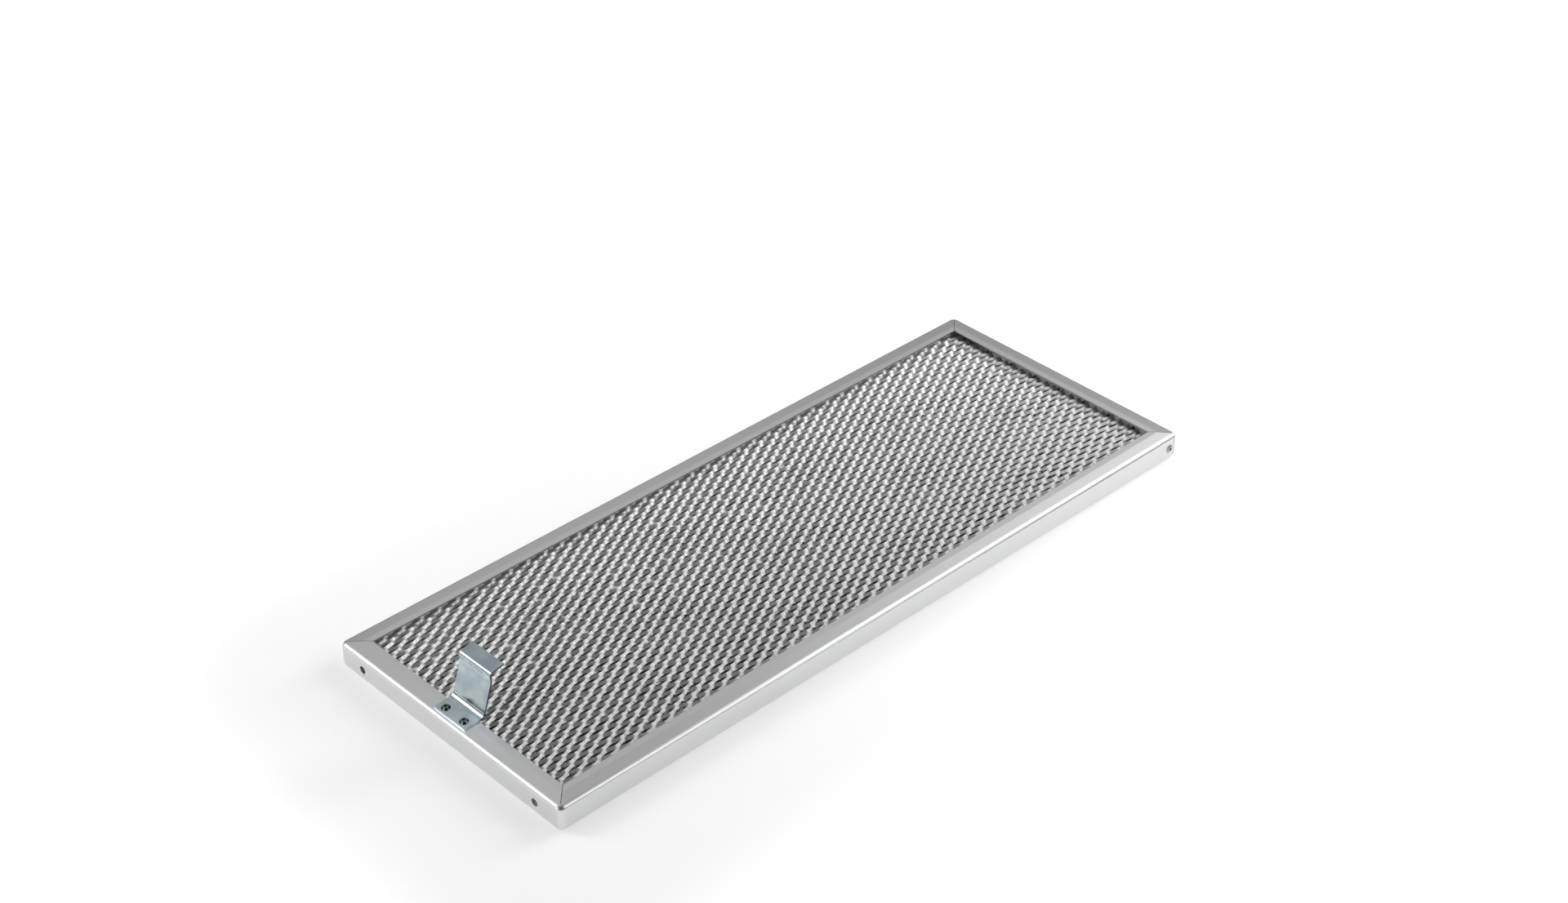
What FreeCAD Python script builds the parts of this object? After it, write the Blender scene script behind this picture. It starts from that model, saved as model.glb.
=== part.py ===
import FreeCAD, Part

import math
import os
import re

import Sketcher

# Driving dimensions in millimetres and degrees
SIZES = [
    ("frameLength", 310.0),
    ("frameWidth", 119.0),
    ("frameThickness", 10.9),
    ("sheetThickness", 0.5),
    ("bendRadius", 1.8),
    ("cornerRadius", 2.5),
    ("lipWidth", 8.3),
    ("lipBandWidth", 2.5),
    ("lipRise", 0.35),
    ("mitreGap", 0.2),
    ("mitreMargin", 0.3),
    ("drainDiameter", 3.0),
    ("drainSpacing", 93.0),
    ("seamGap", 0.15),
    ("tongueLength", 9.0),
    ("tongueClearance", 0.05),
    ("cornerRivetSetback", 5.0),
    ("cornerRivetDiameter", 2.0),
    ("cornerRivetHead", 3.6),
    ("cornerRivetHeadHeight", 0.5),
    ("latchWidth", 16.5),
    ("latchThickness", 0.7),
    ("latchSetback", 2.0),
    ("latchFootLength", 6.55),
    ("latchFootBend", 2.9),
    ("latchWebAngle", 72.0),
    ("latchWebLength", 10.8),
    ("latchWebBend", 4.0),
    ("latchThroatAngle", 86.0),
    ("latchThroatLength", 1.4),
    ("latchThroatBend", 1.5),
    ("latchBrowAngle", 108.0),
    ("latchBrowLength", 0.35),
    ("latchBrowBend", 0.8),
    ("latchFlangeAngle", 12.0),
    ("latchFlangeLength", 5.0),
    ("latchRivetSetback", 4.4),
    ("latchRivetSpacing", 9.8),
    ("latchRivetDiameter", 1.9),
    ("latchRivetHead", 3.4),
    ("latchRivetHeadHeight", 0.8),
    ("rivetTail", 2.7),
    ("rivetTailHeight", 0.2),
    ("rivetDimple", 1.1),
    ("rivetDimpleDepth", 0.4),
    ("rivetCrown", 0.6),
    ("packSideGap", 1.3),
    ("packClearance", 0.1),
    ("layerGap", 0.05),
    ("faceMeshHeight", 1.6),
    ("faceLongPitch", 10.0),
    ("faceShortPitch", 5.35),
    ("innerLongPitch", 36.0),
    ("innerShortPitch", 19.26),
    ("strandThickness", 0.45),
    ("strandTilt", 50.0),
    ("shortestStrand", 12.0),
    ("tieWidth", 0.9),
    ("tieShare", 0.4),
    ("cutMargin", 1.0),
]

TOLERANCE = 1e-4
UPWARDS = FreeCAD.Vector(0, 0, 1)

doc = FreeCAD.newDocument("GreaseFilter")
sheet = doc.addObject("Spreadsheet::Sheet", "Sizes")
for row, (alias, number) in enumerate(SIZES, start=1):
    sheet.set(f"A{row}", alias)
    sheet.set(f"B{row}", str(number))
    sheet.setAlias(f"B{row}", alias)
doc.recompute()


def size(alias):
    return float(sheet.get(alias))


def cell(expression):
    names = {alias for alias, number in SIZES}
    return re.sub(r"[A-Za-z]\w*", lambda word: "Sizes." * (word[0] in names) + word[0], expression)


def bind(thing, **expressions):
    for name, expression in expressions.items():
        thing.setExpression(name.replace("__", "."), cell(expression))


def primitive(kind, name, **expressions):
    thing = doc.addObject(kind, name)
    bind(thing, **expressions)
    return thing


def combine(kind, name, pieces):
    thing = doc.addObject(kind, name)
    if kind == "Part::Cut":
        thing.Base, thing.Tool = pieces
    elif kind == "Part::Compound":
        thing.Links = pieces
    else:
        thing.Shapes = pieces
    return thing


def origin_plane(body, role):
    return next(plane for plane in body.Origin.OriginFeatures if plane.Role == role)


def centred_rectangle(body, name, along, across, height):
    sketch = body.newObject("Sketcher::SketchObject", name)
    sketch.AttachmentSupport = (origin_plane(body, "XY_Plane"), "")
    sketch.MapMode = "FlatFace"
    bind(sketch, AttachmentOffset__Base__z=height)
    half_along = size("frameLength") / 2
    half_across = size("frameWidth") / 2
    signs = ((-1, -1), (1, -1), (1, 1), (-1, 1))
    corners = [FreeCAD.Vector(x * half_along, y * half_across, 0) for x, y in signs]
    for start, end in zip(corners, corners[1:] + corners[:1]):
        sketch.addGeometry(Part.LineSegment(start, end))
    for line in range(len(corners)):
        sketch.addConstraint(Sketcher.Constraint("Coincident", line, 2, (line + 1) % len(corners), 1))
        sketch.addConstraint(Sketcher.Constraint("Horizontal" if line % 2 == 0 else "Vertical", line))
    sketch.addConstraint(Sketcher.Constraint("Symmetric", 0, 1, 1, 2, -1, 1))
    for side, line, measured in (("along", 0, "DistanceX"), ("across", 1, "DistanceY")):
        length = (corners[line + 1] - corners[line]).Length
        index = sketch.addConstraint(Sketcher.Constraint(measured, line, 1, line, 2, length))
        sketch.renameConstraint(index, side)
    bind(sketch, Constraints__along=along, Constraints__across=across)
    return sketch


def fillet(body, name, base, chosen, radius):
    doc.recompute()
    names = [f"Edge{i}" for i, edge in enumerate(base.Shape.Edges, start=1) if chosen(edge)]
    rounding = body.newObject("PartDesign::Fillet", name)
    rounding.Base = (base, names)
    bind(rounding, Radius=radius)
    return rounding


def is_upright(edge):
    return abs(edge.BoundBox.ZLength - edge.Length) < TOLERANCE


def is_level(edge):
    return edge.BoundBox.ZLength < TOLERANCE


def rounded_block(name, inset, corner, bend):
    # A slab with rounded corners and rounded upper and lower edges, the sheet's outside or inside
    body = doc.addObject("PartDesign::Body", name)
    outline = centred_rectangle(body, name + "_outline", f"frameLength - 2 * ( {inset} )",
                                f"frameWidth - 2 * ( {inset} )", f"lipRise + {inset}")
    slab = body.newObject("PartDesign::Pad", name + "_slab")
    slab.Profile = outline
    bind(slab, Length=f"frameThickness - 2 * ( lipRise + {inset} )")
    corners = fillet(body, name + "_corners", slab, is_upright, corner)
    fillet(body, name + "_edges", corners, is_level, bend)
    return body


def lip_crown(name, depth, upper):
    # The low frustum by which the lips rise from their bends to their level inner bands
    crease = "lipWidth - lipBandWidth"
    wide = {"Xmin": "bendRadius - frameLength / 2", "Xmax": "frameLength / 2 - bendRadius",
            "Zmin": "bendRadius - frameWidth / 2", "Zmax": "frameWidth / 2 - bendRadius"}
    narrow = {"X2min": f"{crease} - frameLength / 2", "X2max": f"frameLength / 2 - ( {crease} )",
              "Z2min": f"{crease} - frameWidth / 2", "Z2max": f"frameWidth / 2 - ( {crease} )"}
    crown = primitive("Part::Wedge", name, Ymin="0", Ymax="lipRise", **wide, **narrow)
    turn = 90 if upper else -90
    crown.Placement = FreeCAD.Placement(FreeCAD.Vector(), FreeCAD.Rotation(FreeCAD.Vector(1, 0, 0), turn))
    base = f"lipRise + {depth}"
    bind(crown, Placement__Base__z=f"frameThickness - ( {base} )" if upper else base)
    return crown


def plate(name, low, high):
    # A box between two corners, each given as three expressions
    box = primitive("Part::Box", name, Length=f"{high[0]} - ( {low[0]} )", Width=f"{high[1]} - ( {low[1]} )",
                    Height=f"{high[2]} - ( {low[2]} )")
    bind(box, Placement__Base__x=low[0], Placement__Base__y=low[1], Placement__Base__z=low[2])
    return box


def hole(name, diameter, length, centre, direction):
    # A cutter that starts at a centre and runs along a direction
    cutter = primitive("Part::Cylinder", name, Radius=f"{diameter} / 2", Height=length)
    cutter.Placement.Rotation = FreeCAD.Rotation(UPWARDS, FreeCAD.Vector(*direction))
    bind(cutter, Placement__Base__x=centre[0], Placement__Base__y=centre[1], Placement__Base__z=centre[2])
    return cutter


NEAR_FACE = "- frameLength / 2"
FAR_FACE = "frameLength / 2"
FRONT_FACE = "- frameWidth / 2"
MIDDLE = "frameThickness / 2"
BELOW = "- cutMargin"
ABOVE = "frameThickness + cutMargin"
LATCH_RIVET_SIDES = (("front", "- latchRivetSpacing / 2"), ("back", "latchRivetSpacing / 2"))
LIP_SLOPE = "lipRise / ( lipWidth - lipBandWidth - bendRadius )"
LIP_LEAN = f"atan({LIP_SLOPE})"


def lip_height(setback):
    # Height of the upper lip's sloping outer band at a distance in from the near wall
    return f"frameThickness - lipRise + ( {setback} - bendRadius ) * {LIP_SLOPE}"


def latch_rivet_place(across, height):
    # A point of a latch rivet's axis, at a height measured square to the lip
    return (f"{NEAR_FACE} + latchRivetSetback - ( {height} ) * sin({LIP_LEAN})", across,
            f"{lip_height('latchRivetSetback')} + ( {height} ) * cos({LIP_LEAN})")


def lip_lean():
    return math.atan2(size("lipRise"), size("lipWidth") - size("lipBandWidth") - size("bendRadius"))


def lip_normal():
    return (-math.sin(lip_lean()), 0, math.cos(lip_lean()))


# Frame: one folded strip, outside minus inside, with a window, mitres, drains and a riveted closing tongue
def build_frame():
    outside = [rounded_block("outside_slab", "0", "cornerRadius", "bendRadius")]
    inside = [rounded_block("inside_slab", "sheetThickness", "cornerRadius - sheetThickness",
                            "bendRadius - sheetThickness")]
    for level, upper in (("upper", True), ("lower", False)):
        outside.append(lip_crown(f"{level}_lips_outside", "0", upper))
        inside.append(lip_crown(f"{level}_lips_inside", "sheetThickness", upper))
    inside.append(plate("window", ("lipWidth - frameLength / 2", "lipWidth - frameWidth / 2", BELOW),
                        ("frameLength / 2 - lipWidth", "frameWidth / 2 - lipWidth", ABOVE)))
    formed = combine("Part::MultiFuse", "frame_outside", outside)
    ring = combine("Part::Cut", "frame_ring", [formed, combine("Part::MultiFuse", "frame_inside", inside)])
    slits = combine("Part::Compound", "frame_slits", frame_slits())
    strip = combine("Part::Cut", "frame_strip", [ring, slits])
    closed = combine("Part::MultiFuse", "frame_closed", [strip, closing_tongue()])
    return combine("Part::Cut", "frame", [closed, combine("Part::Compound", "frame_holes", frame_holes())])


def frame_slits():
    # A mitre across both lips at each corner, and the seam where the strip's two ends meet
    start = "bendRadius + mitreMargin"
    reach = f"( lipWidth - ( {start} ) ) * sqrt(2) + cutMargin"
    slits = []
    for corner, (along, across) in enumerate(((-1, -1), (1, -1), (1, 1), (-1, 1))):
        slit = primitive("Part::Wedge", f"mitre_{corner}", Xmin="0", X2min="0", Xmax=reach, X2max=reach,
                         Ymin=BELOW, Ymax=ABOVE, Zmin="- mitreGap / 2", Z2min="- mitreGap / 2",
                         Zmax="mitreGap / 2", Z2max="mitreGap / 2")
        upright = FreeCAD.Rotation(FreeCAD.Vector(1, 0, 0), UPWARDS, FreeCAD.Vector(0, -1, 0), "XYZ")
        inwards = math.degrees(math.atan2(-across, -along))
        slit.Placement.Rotation = FreeCAD.Rotation(UPWARDS, inwards) * upright
        bind(slit, Placement__Base__x=f"{along} * ( frameLength / 2 - ( {start} ) )",
             Placement__Base__y=f"{across} * ( frameWidth / 2 - ( {start} ) )")
        slits.append(slit)
    seam_end = f"{FAR_FACE} - cornerRadius"
    seam = plate("closing_seam", (f"{seam_end} - seamGap", f"{FRONT_FACE} - cutMargin", BELOW),
                 (seam_end, f"{FRONT_FACE} + cornerRadius + seamGap + mitreGap", ABOVE))
    return slits + [seam]


def closing_tongue():
    # The strip's last end, which runs on round the corner and lies behind its first end
    near = f"{FRONT_FACE} + sheetThickness + tongueClearance"
    low = "lipRise + bendRadius"
    high = f"frameThickness - ( {low} )"
    return plate("closing_tongue", (f"{FAR_FACE} - cornerRadius - tongueLength", near, low),
                 (f"{FAR_FACE} - cornerRadius / 2", f"{near} + sheetThickness", high))


def frame_holes():
    holes = []
    for side, across in (("front", "- drainSpacing / 2"), ("back", "drainSpacing / 2")):
        holes.append(hole(f"drain_{side}", "drainDiameter", "sheetThickness + 2 * cutMargin",
                          (f"{NEAR_FACE} - cutMargin", across, MIDDLE), (1, 0, 0)))
    holes += latch_rivet_holes("lip_rivet_hole")
    holes.append(hole("corner_rivet_hole", "cornerRivetDiameter",
                      "2 * sheetThickness + tongueClearance + 2 * cutMargin",
                      (f"{FAR_FACE} - cornerRivetSetback", f"{FRONT_FACE} - cutMargin", MIDDLE), (0, 1, 0)))
    return holes


def latch_rivet_holes(name):
    # Square to the lip, through the latch's foot and the lip alike
    return [hole(f"{name}_{side}", "latchRivetDiameter", "sheetThickness + latchThickness + 2 * cutMargin",
                 latch_rivet_place(across, "- sheetThickness - cutMargin"), lip_normal())
            for side, across in LATCH_RIVET_SIDES]


# Rivets: a crowned head with a dimple, a shank as long as the sheets it grips, and a set tail
def build_rivet(name, diameter, head, head_height, grip, centre, direction):
    crown = primitive("Part::Cone", name + "_crown", Radius1=f"{head} / 2",
                      Radius2=f"{head} / 2 * rivetCrown", Height=head_height)
    shank = primitive("Part::Cylinder", name + "_shank", Radius=f"{diameter} / 2", Height=grip)
    bind(shank, Placement__Base__z=f"- ( {grip} )")
    tail = primitive("Part::Cylinder", name + "_tail", Radius="rivetTail / 2", Height="rivetTailHeight")
    bind(tail, Placement__Base__z=f"- ( {grip} ) - rivetTailHeight")
    whole = combine("Part::MultiFuse", name + "_whole", [crown, shank, tail])
    dimple = primitive("Part::Cylinder", name + "_dimple", Radius="rivetDimple / 2",
                       Height="rivetDimpleDepth")
    bind(dimple, Placement__Base__z=f"{head_height} - rivetDimpleDepth")
    rivet = combine("Part::Cut", name, [whole, dimple])
    rivet.Placement.Rotation = FreeCAD.Rotation(UPWARDS, FreeCAD.Vector(*direction))
    bind(rivet, Placement__Base__x=centre[0], Placement__Base__y=centre[1], Placement__Base__z=centre[2])
    return rivet


# Latch: a strip bent along one path, its underside on the lip's slope
def build_latch():
    runs = [("Foot", math.degrees(lip_lean()))]
    runs += [(run, size(f"latch{run}Angle")) for run in ("Web", "Throat", "Brow", "Flange")]
    body = doc.addObject("PartDesign::Body", "latch_path")
    path = body.newObject("Sketcher::SketchObject", "latch_underside")
    path.AttachmentSupport = (origin_plane(body, "XZ_Plane"), "")
    path.MapMode = "FlatFace"
    point = FreeCAD.Vector(size("latchSetback") - size("frameLength") / 2, size("frameThickness"), 0)
    lines = []
    arcs = []
    for place, (run, angle) in enumerate(runs):
        heading = math.radians(angle)
        along = FreeCAD.Vector(math.cos(heading), math.sin(heading), 0)
        end = point + along * size(f"latch{run}Length")
        lines.append(path.addGeometry(Part.LineSegment(point, end)))
        if place == len(runs) - 1:
            break
        turn = math.radians(runs[place + 1][1]) - heading
        left = math.copysign(1, turn)
        radius = size(f"latch{run}Bend")
        centre = end + FreeCAD.Vector(-along.y, along.x, 0) * left * radius
        start_angle = heading - left * math.pi / 2
        spread = sorted((start_angle, start_angle + turn))
        arcs.append((path.addGeometry(Part.ArcOfCircle(
            Part.Circle(centre, UPWARDS, radius), *spread)), left))
        end_angle = start_angle + turn
        point = centre + FreeCAD.Vector(math.cos(end_angle), math.sin(end_angle), 0) * radius
    constrain_latch(path, runs, lines, arcs)
    blank = doc.addObject("Part::Offset2D", "latch_section")
    blank.Source = path
    blank.Fill = True
    blank.Mode = "Skin"
    bind(blank, Value="latchThickness")
    strip = doc.addObject("Part::Extrusion", "latch_strip")
    strip.Base = blank
    strip.DirMode = "Custom"
    strip.Dir = FreeCAD.Vector(0, 1, 0)
    strip.Solid = True
    strip.Symmetric = True
    bind(strip, LengthFwd="latchWidth")
    holes = combine("Part::Compound", "latch_holes", latch_rivet_holes("latch_rivet_hole"))
    return combine("Part::Cut", "latch_spring", [strip, holes])


def constrain_latch(path, runs, lines, arcs):
    for (arc, left), before, after in zip(arcs, lines, lines[1:]):
        first, last = (1, 2) if left > 0 else (2, 1)
        path.addConstraint(Sketcher.Constraint("Tangent", before, 2, arc, first))
        path.addConstraint(Sketcher.Constraint("Tangent", arc, last, after, 1))
    measures = [("startAlong", Sketcher.Constraint("DistanceX", lines[0], 1, size("latchSetback")),
                 "latchSetback - frameLength / 2"),
                ("startHeight", Sketcher.Constraint("DistanceY", lines[0], 1, size("frameThickness")),
                 lip_height("latchSetback"))]
    for place, (run, angle) in enumerate(runs):
        length = size(f"latch{run}Length")
        turned = LIP_LEAN if run == "Foot" else f"latch{run}Angle"
        measures += [
            (f"length{run}", Sketcher.Constraint("Distance", lines[place], length), f"latch{run}Length"),
            (f"angle{run}", Sketcher.Constraint("Angle", lines[place], math.radians(angle)), turned)]
        if place < len(arcs):
            radius = size(f"latch{run}Bend")
            measures.append((f"bend{run}", Sketcher.Constraint("Radius", arcs[place][0], radius),
                             f"latch{run}Bend"))
    for name, constraint, expression in measures:
        path.renameConstraint(path.addConstraint(constraint), name)
        path.setExpression("Constraints." + name, cell(expression))


# Expanded-metal layers: slanting strands that lean like louvres, with a tie in each slot between them
def build_mesh(name, low, high, long_pitch, short_pitch, lean):
    half_length = size("frameLength") / 2 - size("sheetThickness") - size("packSideGap")
    half_width = size("frameWidth") / 2 - size("sheetThickness") - size("packSideGap")
    slant = math.atan2(short_pitch, long_pitch) * lean
    pitch = long_pitch * math.sin(abs(slant))
    along = FreeCAD.Vector(math.cos(slant), math.sin(slant), 0)
    across = FreeCAD.Vector(-math.sin(slant), math.cos(slant), 0)
    tilt = math.radians(size("strandTilt"))
    slope = across * math.cos(tilt) + UPWARDS * math.sin(tilt)
    skin = across * -math.sin(tilt) + UPWARDS * math.cos(tilt)
    depth = slope * ((high - low - size("strandThickness") * math.cos(tilt)) / math.sin(tilt))
    thickness = skin * size("strandThickness")
    run = along * (2 * (half_length + half_width))
    reach = half_length * abs(across.x) + half_width * across.y
    half_count = int((reach - size("shortestStrand") * abs(along.y) * along.x) / pitch)
    strands = []
    ties = []
    for count in range(-half_count, half_count + 1):
        centre = across * (pitch * count) + UPWARDS * ((low + high) / 2)
        corner = centre - (depth + thickness + run) * 0.5
        section = [corner, corner + depth, corner + depth + thickness, corner + thickness, corner]
        strands.append(Part.Face(Part.makePolygon(section)).extrude(run))
        if count < half_count:
            slot = centre + across * (pitch / 2)
            start, end = stretch_inside(slot, along, half_length, half_width)
            share = size("tieShare") if count % 2 else 1 - size("tieShare")
            ties.append(tie_solid(slot + along * (start + (end - start) * share), pitch, slant))
    sheet_box = Part.makeBox(2 * half_length, 2 * half_width, high - low,
                             FreeCAD.Vector(-half_length, -half_width, low))
    cut_strands = Part.makeCompound(strands).common(sheet_box).Solids
    layer = doc.addObject("Part::Feature", name)
    layer.Shape = cut_strands[0].fuse(cut_strands[1:] + ties).removeSplitter()
    return layer


def stretch_inside(point, along, half_length, half_width):
    # Where a slanting line enters and leaves the layer's rectangle, as distances from the point
    crossings = [sorted(((-half - start) / step, (half - start) / step))
                 for half, start, step in ((half_length, point.x, along.x), (half_width, point.y, along.y))]
    return max(low for low, high in crossings), min(high for low, high in crossings)


def tie_solid(place, pitch, slant):
    # A short bar that slants the other way from the strands that it joins
    direction = FreeCAD.Vector(math.cos(slant), -math.sin(slant), 0)
    side = FreeCAD.Vector(math.sin(slant), math.cos(slant), 0)
    span = direction * (pitch / math.sin(2 * abs(slant)))
    width = side * size("tieWidth")
    rise = UPWARDS * size("strandThickness")
    corner = place - (span + width + rise) * 0.5
    outline = [corner, corner + span, corner + span + width, corner + width, corner]
    return Part.Face(Part.makePolygon(outline)).extrude(rise)


def build_pack():
    bottom = size("sheetThickness") + size("lipRise") + size("packClearance")
    top = size("frameThickness") - bottom
    face = size("faceMeshHeight")
    gap = size("layerGap")
    leans = (("lower", -1), ("middle", 1), ("upper", -1))
    inner = (top - bottom - 2 * face - (len(leans) + 1) * gap) / len(leans)
    face_pitches = (size("faceLongPitch"), size("faceShortPitch"))
    inner_pitches = (size("innerLongPitch"), size("innerShortPitch"))
    layers = [build_mesh("upper_face_mesh", top - face, top, *face_pitches, 1),
              build_mesh("lower_face_mesh", bottom, bottom + face, *face_pitches, 1)]
    low = bottom + face + gap
    for level, lean in leans:
        layers.append(build_mesh(f"inner_mesh_{level}", low, low + inner, *inner_pitches, lean))
        low += inner + gap
    return layers


frame = build_frame()
latch = build_latch()
corner_rivet = build_rivet(
    "corner_rivet", "cornerRivetDiameter", "cornerRivetHead", "cornerRivetHeadHeight",
    "2 * sheetThickness + tongueClearance",
    (f"{FAR_FACE} - cornerRivetSetback", FRONT_FACE, MIDDLE), (0, -1, 0))
latch_rivets = combine("Part::Compound", "latch_rivets", [
    build_rivet(f"latch_rivet_{side}", "latchRivetDiameter", "latchRivetHead", "latchRivetHeadHeight",
                f"sheetThickness * cos({LIP_LEAN}) + latchThickness",
                latch_rivet_place(across, "latchThickness"), lip_normal())
    for side, across in LATCH_RIVET_SIDES])
layers = build_pack()
doc.recompute()

for thing in doc.Objects:
    if "Invalid" in thing.State or "Error" in thing.State:
        raise RuntimeError(f"{thing.Label} did not build: {thing.State}")

os.makedirs("parts", exist_ok=True)
pieces = [frame, corner_rivet, latch, latch_rivets] + layers
for piece in pieces:
    if piece.Shape.isNull() or not piece.Shape.isValid() or not piece.Shape.Solids:
        raise RuntimeError(f"{piece.Label} has no sound solid")
for piece in pieces:
    piece.Shape.exportStep(os.path.join("parts", piece.Label + ".step"))
    box = piece.Shape.BoundBox
    print(f"{piece.Label}: {len(piece.Shape.Solids)} solid(s), {piece.Shape.Volume:.1f} mm3, "
          f"z {box.ZMin:.2f} to {box.ZMax:.2f}")
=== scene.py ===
import bpy
import math
import numpy as np
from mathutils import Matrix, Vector


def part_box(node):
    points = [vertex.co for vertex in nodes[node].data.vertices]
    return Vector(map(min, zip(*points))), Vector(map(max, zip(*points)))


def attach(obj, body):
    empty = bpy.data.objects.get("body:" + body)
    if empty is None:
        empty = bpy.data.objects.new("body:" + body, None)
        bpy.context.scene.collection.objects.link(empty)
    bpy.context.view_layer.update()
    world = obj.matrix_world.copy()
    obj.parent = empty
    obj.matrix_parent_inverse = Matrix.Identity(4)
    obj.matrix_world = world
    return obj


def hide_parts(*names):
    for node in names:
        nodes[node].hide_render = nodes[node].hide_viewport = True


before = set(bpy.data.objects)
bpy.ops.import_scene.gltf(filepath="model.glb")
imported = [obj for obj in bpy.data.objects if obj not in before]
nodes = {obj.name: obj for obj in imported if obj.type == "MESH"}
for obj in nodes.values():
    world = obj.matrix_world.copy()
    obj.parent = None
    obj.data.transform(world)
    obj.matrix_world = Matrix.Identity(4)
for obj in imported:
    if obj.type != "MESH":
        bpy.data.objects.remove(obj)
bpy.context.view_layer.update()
scene = bpy.context.scene
mm = 0.001
print("frame loaded:", ", ".join(sorted(nodes)))


# One socket of a shader tree: + - * and ** add Math nodes, add() makes any other node
class Wire:
    def __init__(self, tree, socket=None):
        self.tree = tree
        self.socket = socket

    def add(self, kind, settings=None, inputs=None, out=0):
        node = self.tree.nodes.new(kind)
        for key, value in (settings or {}).items():
            setattr(node, key, value)
        for key, value in (inputs or {}).items():
            if isinstance(value, Wire):
                self.tree.links.new(value.socket, node.inputs[key])
            else:
                node.inputs[key].default_value = value
        return Wire(self.tree, node.outputs[out])

    def output(self, name):  # another output of this socket's node
        return Wire(self.tree, self.socket.node.outputs[name])

    def maths(self, operation, first, second=0.0, clamp=False):
        settings = {"operation": operation, "use_clamp": clamp}
        return self.add("ShaderNodeMath", settings, {0: first, 1: second})

    def __add__(self, other):
        return self.maths("ADD", self, other)

    def __radd__(self, other):
        return self.maths("ADD", other, self)

    def __sub__(self, other):
        return self.maths("SUBTRACT", self, other)

    def __rsub__(self, other):
        return self.maths("SUBTRACT", other, self)

    def __mul__(self, other):
        return self.maths("MULTIPLY", self, other)

    def __rmul__(self, other):
        return self.maths("MULTIPLY", other, self)

    def __pow__(self, other):
        return self.maths("POWER", self, other)

    def size(self):
        return self.maths("ABSOLUTE", self)

    def above(self, level):
        return self.maths("GREATER_THAN", self, level)

    def atLeast(self, level):
        return self.maths("MAXIMUM", self, level)

    def clamped(self):
        return self.maths("ADD", self, 0.0, clamp=True)

    def ramp(self, low, high):  # 0 at low, 1 at high, smooth between
        ends = {"Value": self, "From Min": low, "From Max": high}
        return self.add("ShaderNodeMapRange", {"interpolation_type": "SMOOTHSTEP"}, ends)

    def blend(self, first, second):  # first where this is 0, second where it is 1
        colours = {0: self, 6: first, 7: second}  # a Mix node's factor and its two colour sockets
        return self.add("ShaderNodeMix", {"data_type": "RGBA"}, colours, out=2)


def grey(level, warmth=0.0):
    return (level * (1 + warmth), level, level * (1 - warmth), 1.0)


# Gives a new material, the wire of the object's own coordinates, and the shader with its constants set
def startMaterial(name, **constants):
    material = bpy.data.materials.new(name)
    material.use_nodes = True
    shader = material.node_tree.nodes["Principled BSDF"]
    for socket, value in constants.items():
        shader.inputs[socket.replace("_", " ")].default_value = value
    place = Wire(material.node_tree).add("ShaderNodeTexCoord", out="Object")
    return material, place, shader


def connect(shader, **sockets):
    for socket, wire in sockets.items():
        wire.tree.links.new(wire.socket, shader.inputs[socket.replace("_", " ")])


def planAxes(place):
    parts = place.add("ShaderNodeSeparateXYZ", None, {"Vector": place})
    return parts.output("X"), parts.output("Y")


def noise(place, scale, detail, stretch=(1, 1, 1)):
    stretched = place.add("ShaderNodeVectorMath", {"operation": "MULTIPLY"}, {0: place, 1: stretch})
    return place.add("ShaderNodeTexNoise", None, {"Vector": stretched, "Scale": scale, "Detail": detail})


def bump(height, strength, distance):
    inputs = {"Height": height, "Strength": strength, "Distance": distance}
    return height.add("ShaderNodeBump", None, inputs)


# Folded frame: satin rolled aluminium, its lines along each side; dark and light are shares of the colour;
# the rivet colour is darker, as painted shade on the corner rivet's head
frameFinish = {"colour": 0.74, "rivetPaintedShadeColour": 0.4, "warmth": -0.006, "dark": 0.8, "light": 1.02,
               "cloudScale": 40.0, "cloudDetail": 4.0, "cloudFrom": 0.95, "cloudSpread": 0.1,
               "rough": 0.38, "roughSpread": 0.06, "lineScale": 2600.0, "lineDetail": 2.0,
               "lineStretch": 0.02, "lineStrength": 0.1, "lineDepth": 0.02 * mm}


def rolledAluminium(name, level):
    f = frameFinish
    material, place, shader = startMaterial(name, Metallic=1.0)
    x, y = planAxes(place)
    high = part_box("frame")[1]
    longSide = ((high.x - x.size()) - (high.y - y.size())).above(0.0)  # 1 on the long sides, to the mitres
    alongX = noise(place, f["lineScale"], f["lineDetail"], (f["lineStretch"], 1, 1))
    alongY = noise(place, f["lineScale"], f["lineDetail"], (1, f["lineStretch"], 1))
    lines = alongX * longSide + alongY * (1 - longSide)
    cloud = noise(place, f["cloudScale"], f["cloudDetail"])
    tone = (f["cloudFrom"] + f["cloudSpread"] * cloud).clamped()
    colour = tone.blend(grey(level * f["dark"], f["warmth"]), grey(level * f["light"], f["warmth"]))
    rough = f["rough"] + f["roughSpread"] * (lines - 0.5)
    connect(shader, Base_Color=colour, Roughness=rough,
            Normal=bump(lines, f["lineStrength"], f["lineDepth"]))
    return material


# Expanded sheets: matt aluminium straight from the slitting press; the inner sheets get a darker copy of it,
# painted shade for the inside of the pack
meshFinish = {"colour": 0.67, "innerPaintedShadeColour": 0.22, "warmth": 0.006, "dark": 0.88, "light": 1.08,
              "cloudScale": 60.0, "cloudDetail": 3.0, "metal": 0.6, "rough": 0.4, "roughSpread": 0.14,
              "grainScale": 1800.0, "grainDetail": 2.0, "grainStrength": 0.3, "grainDepth": 0.03 * mm}


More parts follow.
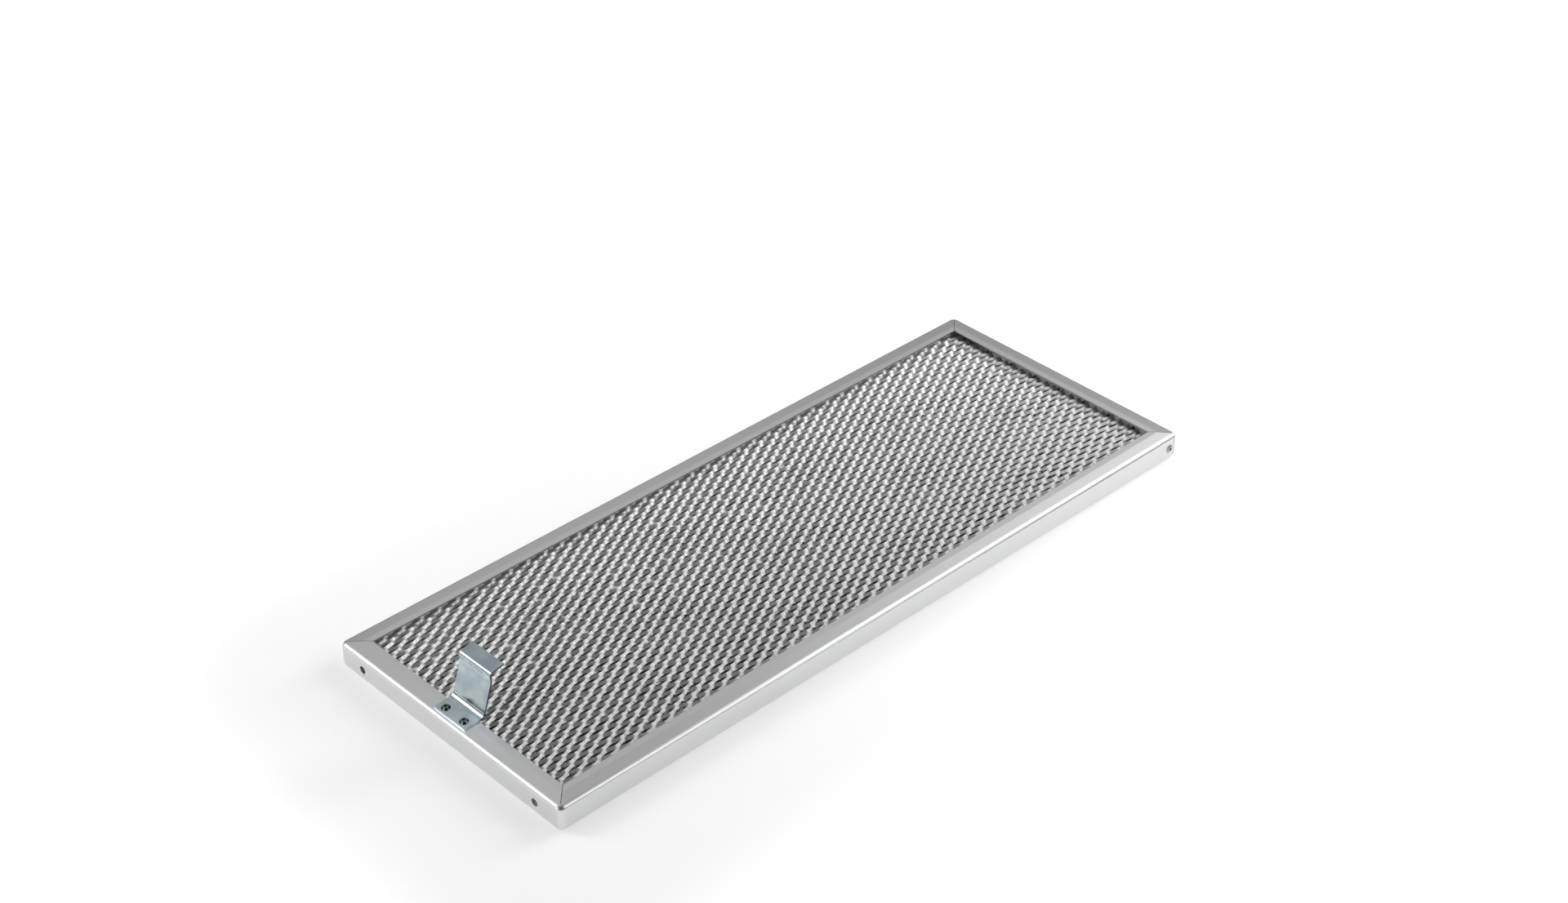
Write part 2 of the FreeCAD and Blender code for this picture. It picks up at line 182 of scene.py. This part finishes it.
def slitAluminium(name, level):
    f = meshFinish
    material, place, shader = startMaterial(name, Metallic=f["metal"])
    cloud = noise(place, f["cloudScale"], f["cloudDetail"])
    grain = noise(place, f["grainScale"], f["grainDetail"])
    colour = cloud.blend(grey(level * f["dark"], f["warmth"]), grey(level * f["light"], f["warmth"]))
    rough = f["rough"] + f["roughSpread"] * (grain - 0.5)
    connect(shader, Base_Color=colour, Roughness=rough,
            Normal=bump(grain, f["grainStrength"], f["grainDepth"]))
    return material


# Latch and its rivets: patchy blue-passivated zinc on spring steel, the rivets darker, as painted shade on
# their heads
latchFinish = {"blue": (0.33, 0.39, 0.44), "green": (0.46, 0.53, 0.53), "rivetPaintedShade": 0.3,
               "patchScale": 110.0, "patchDetail": 3.0, "patchFrom": 0.35, "patchTo": 0.7,
               "rough": 0.14, "roughSpread": 0.1, "lineScale": 3500.0, "lineDetail": 2.0,
               "lineStretch": 0.03, "lineStrength": 0.2, "lineDepth": 0.02 * mm}


def bluePassivatedZinc(name, shade):
    f = latchFinish
    material, place, shader = startMaterial(name, Metallic=1.0)
    patch = noise(place, f["patchScale"], f["patchDetail"]).ramp(f["patchFrom"], f["patchTo"])
    lines = noise(place, f["lineScale"], f["lineDetail"], (1, f["lineStretch"], 1))
    blue = [channel * shade for channel in f["blue"]] + [1.0]
    green = [channel * shade for channel in f["green"]] + [1.0]
    rough = f["rough"] + f["roughSpread"] * lines
    connect(shader, Base_Color=patch.blend(blue, green), Roughness=rough,
            Normal=bump(lines, f["lineStrength"], f["lineDepth"]))
    return material


def dress(node, material):
    slots = nodes[node].data.materials
    slots.clear()
    slots.append(material)


dress("frame", rolledAluminium("rolled_aluminium", frameFinish["colour"]))
dress("latch_spring", bluePassivatedZinc("blue_zinc", 1.0))
# painted shade: the latch rivets are the latch's zinc darkened, standing in for the shade on their heads
dress("latch_rivets", bluePassivatedZinc("rivet_zinc", latchFinish["rivetPaintedShade"]))
# painted shade: the corner rivet is the frame's aluminium at a darker colour, standing in for the shade on
# its head
dress("corner_rivet", rolledAluminium("rivet_aluminium", frameFinish["rivetPaintedShadeColour"]))
print("finishes set on the frame, latch and rivets")


# Expanded metal: each strip zigzags between two rows of bonds and leans like a louvre, in degrees from flat
sheetForm = {"strandWidth": 1.15 * mm, "gauge": 0.4 * mm, "bondLength": 1.3 * mm, "bend": 0.35 * mm,
             "bendShare": 0.1, "bondOverlap": 0.03 * mm, "unevenness": 0.05 * mm, "lean": 45.0,
             "tuckStart": 7.8 * mm, "tuckRun": 2.2 * mm, "sharpAngle": 35.0}

# turned: the way the strips lean; wide: share of the strand's width; lift: up from the bottom of its room;
# inset: short of its room's edge; tuck: how far the sheet's own edge is bent up
layers = {
    "upper_face_mesh": {"longPitch": 8.0 * mm, "shortPitch": 4.28 * mm, "turned": 1, "wide": 1.0,
                        "lift": -0.8 * mm, "inset": 0.0, "tuck": -1.0 * mm},
    "inner_mesh_upper": {"longPitch": 9.2 * mm, "shortPitch": 4.6 * mm, "turned": -1, "wide": 1.0,
                         "lift": 0.0, "inset": 9.0 * mm, "tuck": 0.0},
    "inner_mesh_middle": {"longPitch": 12.0 * mm, "shortPitch": 6.42 * mm, "turned": 1, "wide": 1.3,
                          "lift": 0.0, "inset": 0.0, "tuck": 0.0},
    "inner_mesh_lower": {"longPitch": 12.0 * mm, "shortPitch": 6.42 * mm, "turned": -1, "wide": 1.3,
                         "lift": 0.0, "inset": 9.0 * mm, "tuck": 0.0},
    "lower_face_mesh": {"longPitch": 8.0 * mm, "shortPitch": 4.28 * mm, "turned": 1, "wide": 1.0,
                        "lift": 0.5 * mm, "inset": 0.0, "tuck": 1.0 * mm},
}


def expandedSheet(node, layer, material, seed):
    f = sheetForm
    low, high = (np.array(corner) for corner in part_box(node))
    chance = np.random.default_rng(seed)
    step = layer["longPitch"] / 2  # from bond to bond along a strip
    row = layer["shortPitch"] / 2
    lean = math.radians(f["lean"])
    across = np.array([0.0, layer["turned"] * math.cos(lean), math.sin(lean)])  # over a strip's width
    width = f["strandWidth"] * layer["wide"]
    halfColumns = int((high[0] - layer["inset"] - f["bondLength"]) / step)
    halfRows = int((high[1] - layer["inset"] - width) / row)
    columns = np.arange(-halfColumns, halfColumns + 1)
    halfHeight = (width * math.sin(lean) + f["gauge"] * math.cos(lean)) / 2
    middle = low[2] + halfHeight + layer["lift"]
    # each bond lies a little off its place
    sway = chance.normal(0.0, f["unevenness"], (len(columns), 2 * halfRows + 1, 3))
    points = []
    faces = []
    for strip in range(-halfRows, halfRows):
        bonds = []
        for place, column in enumerate(columns):
            lower = (column + strip) % 2 == 0  # bonds lie by turns on the row before and after
            bond = strip if lower else strip + 1
            side = 1.0 if lower else -1.0
            centre = np.array([column * step, bond * row, middle]) + sway[place, bond + halfRows]
            bonds.append(centre + across * (side * width / 2))
        line = bentLine(bonds)
        faces += stripFaces(4 * sum(len(part) for part in points), len(line))
        points.append(stripCorners(line, across, width))
    vertices = np.concatenate([part.reshape(-1, 3) for part in points])
    vertices[:, 2] += layer["tuck"] * underLip(vertices, high)
    addSheet(node, vertices, faces, material)


# A strip's middle line: level through each bond, bent on both sides of it towards the next
def bentLine(bonds):
    half = sheetForm["bondLength"] / 2
    bend = sheetForm["bend"]
    line = []
    for place, bond in enumerate(bonds):
        before = bonds[max(0, place - 1)]
        after = bonds[min(len(bonds) - 1, place + 1)]
        for offset, other in ((-half - bend, before), (-half, bond), (half, bond), (half + bend, after)):
            point = bond + np.array([offset, 0, 0])
            point[1:] += (other - bond)[1:] * sheetForm["bendShare"]
            line.append(point)
    return np.array(line)


# The four corners of a strip's section at each point of its line
def stripCorners(line, across, width):
    facing = np.cross(np.gradient(line, axis=0), across)
    facing /= np.linalg.norm(facing, axis=1)[:, None]
    facing *= np.sign(facing[:, 2:3])
    wide = across * (width / 2 + sheetForm["bondOverlap"])
    thick = facing * (sheetForm["gauge"] / 2)
    corners = [line - wide - thick, line + wide - thick, line + wide + thick, line - wide + thick]
    return np.stack(corners, axis=1)


def stripFaces(first, count):
    made = [(first, first + 3, first + 2, first + 1)]
    for ring in range(count - 1):
        start = first + 4 * ring
        for corner in range(4):
            following = (corner + 1) % 4
            made.append((start + corner, start + following, start + 4 + following, start + 4 + corner))
    last = first + 4 * (count - 1)
    made.append((last, last + 1, last + 2, last + 3))
    return made


# 0 in the window, 1 near the sheet's edge, smooth between
def underLip(vertices, high):
    edge = np.minimum(high[0] - abs(vertices[:, 0]), high[1] - abs(vertices[:, 1]))
    turn = np.clip((sheetForm["tuckStart"] - edge) / sheetForm["tuckRun"], 0, 1)
    return turn * turn * (3 - 2 * turn)


def addSheet(node, vertices, faces, material):
    mesh = bpy.data.meshes.new(node + "_sheet")
    mesh.from_pydata(vertices.tolist(), [], faces)
    mesh.validate()
    mesh.shade_smooth()
    mesh.set_sharp_from_angle(angle=math.radians(sheetForm["sharpAngle"]))
    mesh.materials.append(material)
    piece = bpy.data.objects.new(node + "_sheet", mesh)
    scene.collection.objects.link(piece)
    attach(piece, "root")
    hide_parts(node)
    print(piece.name, "has", sum(len(face) - 2 for face in faces), "triangles")


faceMetal = slitAluminium("slit_aluminium", meshFinish["colour"])
# painted shade: the inner sheets use the same aluminium at a much darker colour, standing in for the shade
# inside the pack
innerShadedMetal = slitAluminium("slit_aluminium_inside_painted_shade", meshFinish["innerPaintedShadeColour"])
for seed, (node, layer) in enumerate(layers.items()):
    expandedSheet(node, layer, innerShadedMetal if node.startswith("inner") else faceMetal, seed)


# Floor: white, with the object's shadow; what the lens and the metal see is lifted, fully so further out
floorLook = {"size": 8.0, "colour": 0.9, "nearLift": 0.34, "liftStart": 0.03, "liftEnd": 0.15}


def whiteFloor():
    f = floorLook
    bpy.ops.mesh.primitive_plane_add(size=f["size"])
    floor = bpy.context.object
    floor.name = "floor"
    material, place, shader = startMaterial("white_floor", Base_Color=grey(f["colour"]), Roughness=1.0,
                                            Specular_IOR_Level=0.0, Emission_Strength=1.0)
    path = place.add("ShaderNodeLightPath")
    direct = path.output("Is Camera Ray")
    mirrored = path.output("Is Glossy Ray")
    through = path.output("Is Transmission Ray")
    x, y = planAxes(place)
    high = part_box("frame")[1]
    beside = (x.size() - high.x).atLeast(0.0)
    before = (y.size() - high.y).atLeast(0.0)
    away = (beside * beside + before * before) ** 0.5  # distance from the frame's outline
    share = f["nearLift"] + (1 - f["nearLift"]) * away.ramp(f["liftStart"], f["liftEnd"])
    connect(shader, Emission_Color=(direct + mirrored + through).clamped() * share)
    floor.data.materials.append(material)


whiteFloor()


# Lights, aimed at the origin: azimuth in degrees from +X to +Y, distance and sides in metres, power in watts
lamps = {
    "back_strip": {"azimuth": 136.0, "elevation": 32.0, "distance": 0.9, "sides": (0.22, 0.6), "power": 2.1},
    "left_low": {"azimuth": 175.0, "elevation": 20.0, "distance": 0.75, "sides": (0.4, 0.3), "power": 0.7},
    "right_box": {"azimuth": -12.0, "elevation": 42.0, "distance": 0.6, "sides": (0.45, 0.5), "power": 0.95},
    "right_near": {"azimuth": -15.0, "elevation": 40.0, "distance": 0.45, "sides": (0.3, 0.3), "power": 0.3},
    "front_box": {"azimuth": -70.0, "elevation": 35.0, "distance": 0.6, "sides": (0.35, 0.35), "power": 0.7},
    "far_box": {"azimuth": 50.0, "elevation": 38.0, "distance": 0.9, "sides": (0.7, 0.5), "power": 0.6},
    "top_box": {"azimuth": 110.0, "elevation": 62.0, "distance": 0.75, "sides": (0.57, 0.57), "power": 0.6},
    "right_low": {"azimuth": -14.0, "elevation": 24.0, "distance": 1.3, "sides": (0.36, 0.22), "power": 2.2},
}
skyLook = {"level": 0.06}


def softLight(name, settings):
    data = bpy.data.lights.new(name, "AREA")
    data.shape = "RECTANGLE"
    data.size, data.size_y = settings["sides"]
    data.energy = settings["power"]
    lamp = bpy.data.objects.new(name, data)
    azimuth = math.radians(settings["azimuth"])
    elevation = math.radians(settings["elevation"])
    flat = math.cos(elevation)
    direction = Vector((math.cos(azimuth) * flat, math.sin(azimuth) * flat, math.sin(elevation)))
    lamp.location = direction * settings["distance"]
    lamp.rotation_euler = direction.to_track_quat("Z", "Y").to_euler()
    scene.collection.objects.link(lamp)


for name, settings in lamps.items():
    softLight(name, settings)


def softSky():
    world = bpy.data.worlds.new("studio")
    world.use_nodes = True
    world.node_tree.nodes["Background"].inputs["Color"].default_value = grey(skyLook["level"])
    scene.world = world


softSky()
print("floor, lamps and sky set")


# Camera: the photograph's view, for an image of 1920 by 1106; azimuth in degrees from a view along +Y
lens = {"focal": 60.0, "sensor": 36.0, "nearest": 0.01, "azimuth": -43.77, "elevation": 34.51,
        "place": (-532.9 * mm, -557.3 * mm, 576.15 * mm)}


def photoCamera():
    data = bpy.data.cameras.new("camera")
    data.lens = lens["focal"]
    data.sensor_width = lens["sensor"]
    data.clip_start = lens["nearest"]
    camera = bpy.data.objects.new("camera", data)
    azimuth = math.radians(lens["azimuth"])
    elevation = math.radians(lens["elevation"])
    flat = math.cos(elevation)
    back = Vector((math.sin(azimuth) * flat, -math.cos(azimuth) * flat, math.sin(elevation)))
    camera.location = lens["place"]
    camera.rotation_euler = back.to_track_quat("Z", "Y").to_euler()
    scene.collection.objects.link(camera)
    scene.camera = camera


photoCamera()
scene.view_settings.view_transform = "Standard"
print("camera set")
